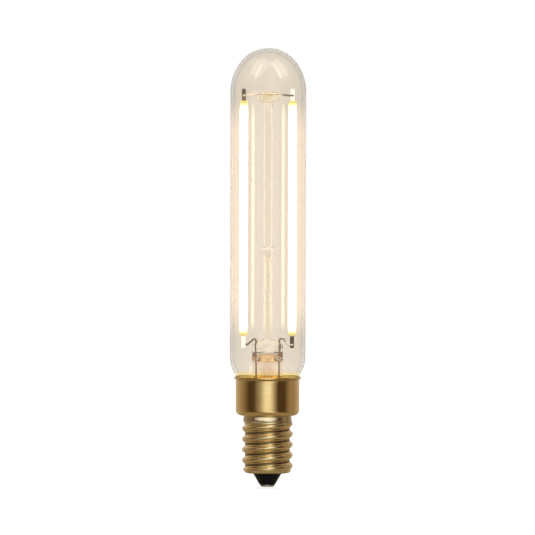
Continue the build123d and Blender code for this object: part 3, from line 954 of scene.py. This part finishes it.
# Light passes many glass walls on its way
scene.cycles.max_bounces = 32
scene.cycles.transmission_bounces = 32
scene.cycles.glossy_bounces = 8


def seen_directly(tree):
    """1 for rays from the camera, from mirror-like surfaces and through glass, and 0 for the rest."""
    path = add_node(tree, "ShaderNodeLightPath").outputs
    first = maths(tree, "MAXIMUM", path["Is Camera Ray"], path["Is Glossy Ray"])
    return maths(tree, "MAXIMUM", first, path["Is Transmission Ray"])


# White surroundings
world = bpy.data.worlds.new("world")
scene.world = world
world.use_nodes = True
tree = world.node_tree
tree.nodes.clear()
dim = add_node(tree, "ShaderNodeBackground", {"Color": (1, 1, 1, 1), "Strength": 0.6})
white = add_node(tree, "ShaderNodeBackground", {"Color": (1, 1, 1, 1), "Strength": 1.0})
choices = {0: seen_directly(tree), 1: dim.outputs[0], 2: white.outputs[0]}
both = add_node(tree, "ShaderNodeMixShader", choices)
add_node(tree, "ShaderNodeOutputWorld", {"Surface": both.outputs[0]})


def stage_mesh(name, verts, faces, material):
    """Object of the studio that is no part of the lamp."""
    mesh = bpy.data.meshes.new(name)
    mesh.from_pydata(verts, [], faces)
    mesh.materials.append(material)
    thing = bpy.data.objects.new(name, mesh)
    scene.collection.objects.link(thing)
    return thing


def bare_material(name):
    """Material with no shader yet, its tree and its output."""
    material, tree, shader = node_material(name)
    tree.nodes.remove(shader)
    return material, tree, output_of(tree)


def floor():
    """Pale floor, white to the eye, and still shaded by the lamp."""
    glow_share = 0.8
    material, tree, output = bare_material("floor")
    glow = maths(tree, "MULTIPLY", seen_directly(tree), glow_share)
    pale = add_node(tree, "ShaderNodeBsdfDiffuse", {"Color": (0.35, 0.35, 0.35, 1)})
    shine = add_node(tree, "ShaderNodeEmission", {"Color": (1, 1, 1, 1), "Strength": glow})
    total = add_node(tree, "ShaderNodeAddShader", {0: pale.outputs[0], 1: shine.outputs[0]})
    tree.links.new(total.outputs[0], output.inputs["Surface"])
    reach = 4.0
    level = -0.5 * MM
    corners = [(reach * x, reach * y, level) for x, y in ((-1, -1), (1, -1), (1, 1), (-1, 1))]
    ground = stage_mesh("floor", corners, [(0, 1, 2, 3)], material)
    ground.visible_glossy = False


def tent_material():
    """Studio round the lamp: a soft white front between dark flags, side walls and a pale back.

    A white card hangs in front at a little above the cap, and it darkens towards its floor and roof.
    """
    front, edge, flag = (0.97, 0.98, 0.91), (0.38, 0.34, 0.26), (0.075, 0.047, 0.026)
    wall, back = (0.31, 0.24, 0.16), (0.70, 0.62, 0.55)
    ground, roof, card_white = (0.30, 0.25, 0.16), (0.32, 0.28, 0.22), (1.0, 0.97, 0.95)
    bands = [
        (-180, back), (-104, wall), (-70, flag), (-50, flag), (-26, edge), (-6, front),
        (8, front), (25, edge), (38, flag), (64, flag), (89, wall), (106, wall), (180, back),
    ]
    skirt_level = -0.1
    lean_turn = 11 / 360
    gap_middle, gap_half, gap_end = 0.52, 12 / 360, 40 / 360
    material, tree, output = bare_material("tent")
    axes = lamp_axes(tree)
    height = maths(tree, "DIVIDE", axes["Z"], tent_radius)
    angle = maths(tree, "ARCTAN2", axes["X"], maths(tree, "MULTIPLY", axes["Y"], -1.0))
    off_level = maths(tree, "ABSOLUTE", maths(tree, "SUBTRACT", height, skirt_level))
    lean = remap(tree, off_level, 0.05, 0.35, 0.0, lean_turn)
    turn = maths(tree, "ADD", maths(tree, "DIVIDE", angle, 2 * pi), maths(tree, "SUBTRACT", 0.5, lean))
    colour = colour_ramp(tree, turn, [(degree / 360 + 0.5, band) for degree, band in bands])
    card_edges = [
        (height, -0.05, -0.01),
        (height, 0.17, 0.12),
        (angle, radians(-72), radians(-32)),
        (angle, radians(52), radians(16)),
    ]
    card = 1.0
    for value, outer, inner in card_edges:
        card = maths(tree, "MULTIPLY", card, remap(tree, value, outer, inner, 0.0, 1.0))
    colour = blend_colour(tree, card, colour, card_white)
    colour = blend_colour(tree, remap(tree, height, -0.28, -0.58, 0.0, 1.0), colour, ground)
    aside = maths(tree, "ABSOLUTE", maths(tree, "SUBTRACT", turn, gap_middle))
    covered = remap(tree, aside, gap_half, gap_end, 0.0, 1.0)
    above = maths(tree, "MULTIPLY", remap(tree, height, 0.35, 0.75, 0.0, 0.85), covered)
    colour = blend_colour(tree, above, colour, roof)
    shine = add_node(tree, "ShaderNodeEmission", {"Color": colour, "Strength": 1.0})
    tree.links.new(shine.outputs[0], output.inputs["Surface"])
    material.cycles.emission_sampling = "NONE"
    return material


def tent():
    """Round studio tent that only polished surfaces see."""
    rings, segments = 32, 64
    verts, faces = [], []
    for k in range(rings + 1):
        rise = pi * (k / rings - 0.5)
        for i in range(segments):
            turn = 2 * pi * i / segments
            verts.append((cos(rise) * cos(turn), cos(rise) * sin(turn), sin(rise)))
    for k in range(rings):
        faces += ring_faces(k * segments, (k + 1) * segments, segments)
    card = stage_mesh("tent", [Vector(v) * tent_radius for v in verts], faces, tent_material())
    card.location = (0, 0, aim_height * MM)
    card.visible_camera = False
    card.visible_diffuse = False
    card.visible_transmission = False
    card.visible_shadow = False


tent_radius = 0.5
floor()
tent()


def area_lamp(name, place, aim, size, power):
    """Soft box that lights the lamp and is not mirrored in it."""
    data = bpy.data.lights.new(name, "AREA")
    data.shape = "RECTANGLE"
    data.size, data.size_y = size
    data.energy = power
    lamp = bpy.data.objects.new(name, data)
    scene.collection.objects.link(lamp)
    lamp.location = place
    lamp.rotation_euler = (Vector(aim) - Vector(place)).to_track_quat("-Z", "Y").to_euler()
    lamp.visible_glossy = False


middle = (0, 0, aim_height * MM)
area_lamp("key", place=(-0.27, -0.22, 0.78), aim=middle, size=(0.55, 0.75), power=4.0)
area_lamp("fill", place=(0.40, -0.22, 0.71), aim=middle, size=(0.45, 0.65), power=3.0)

scene.view_settings.view_transform = "Standard"
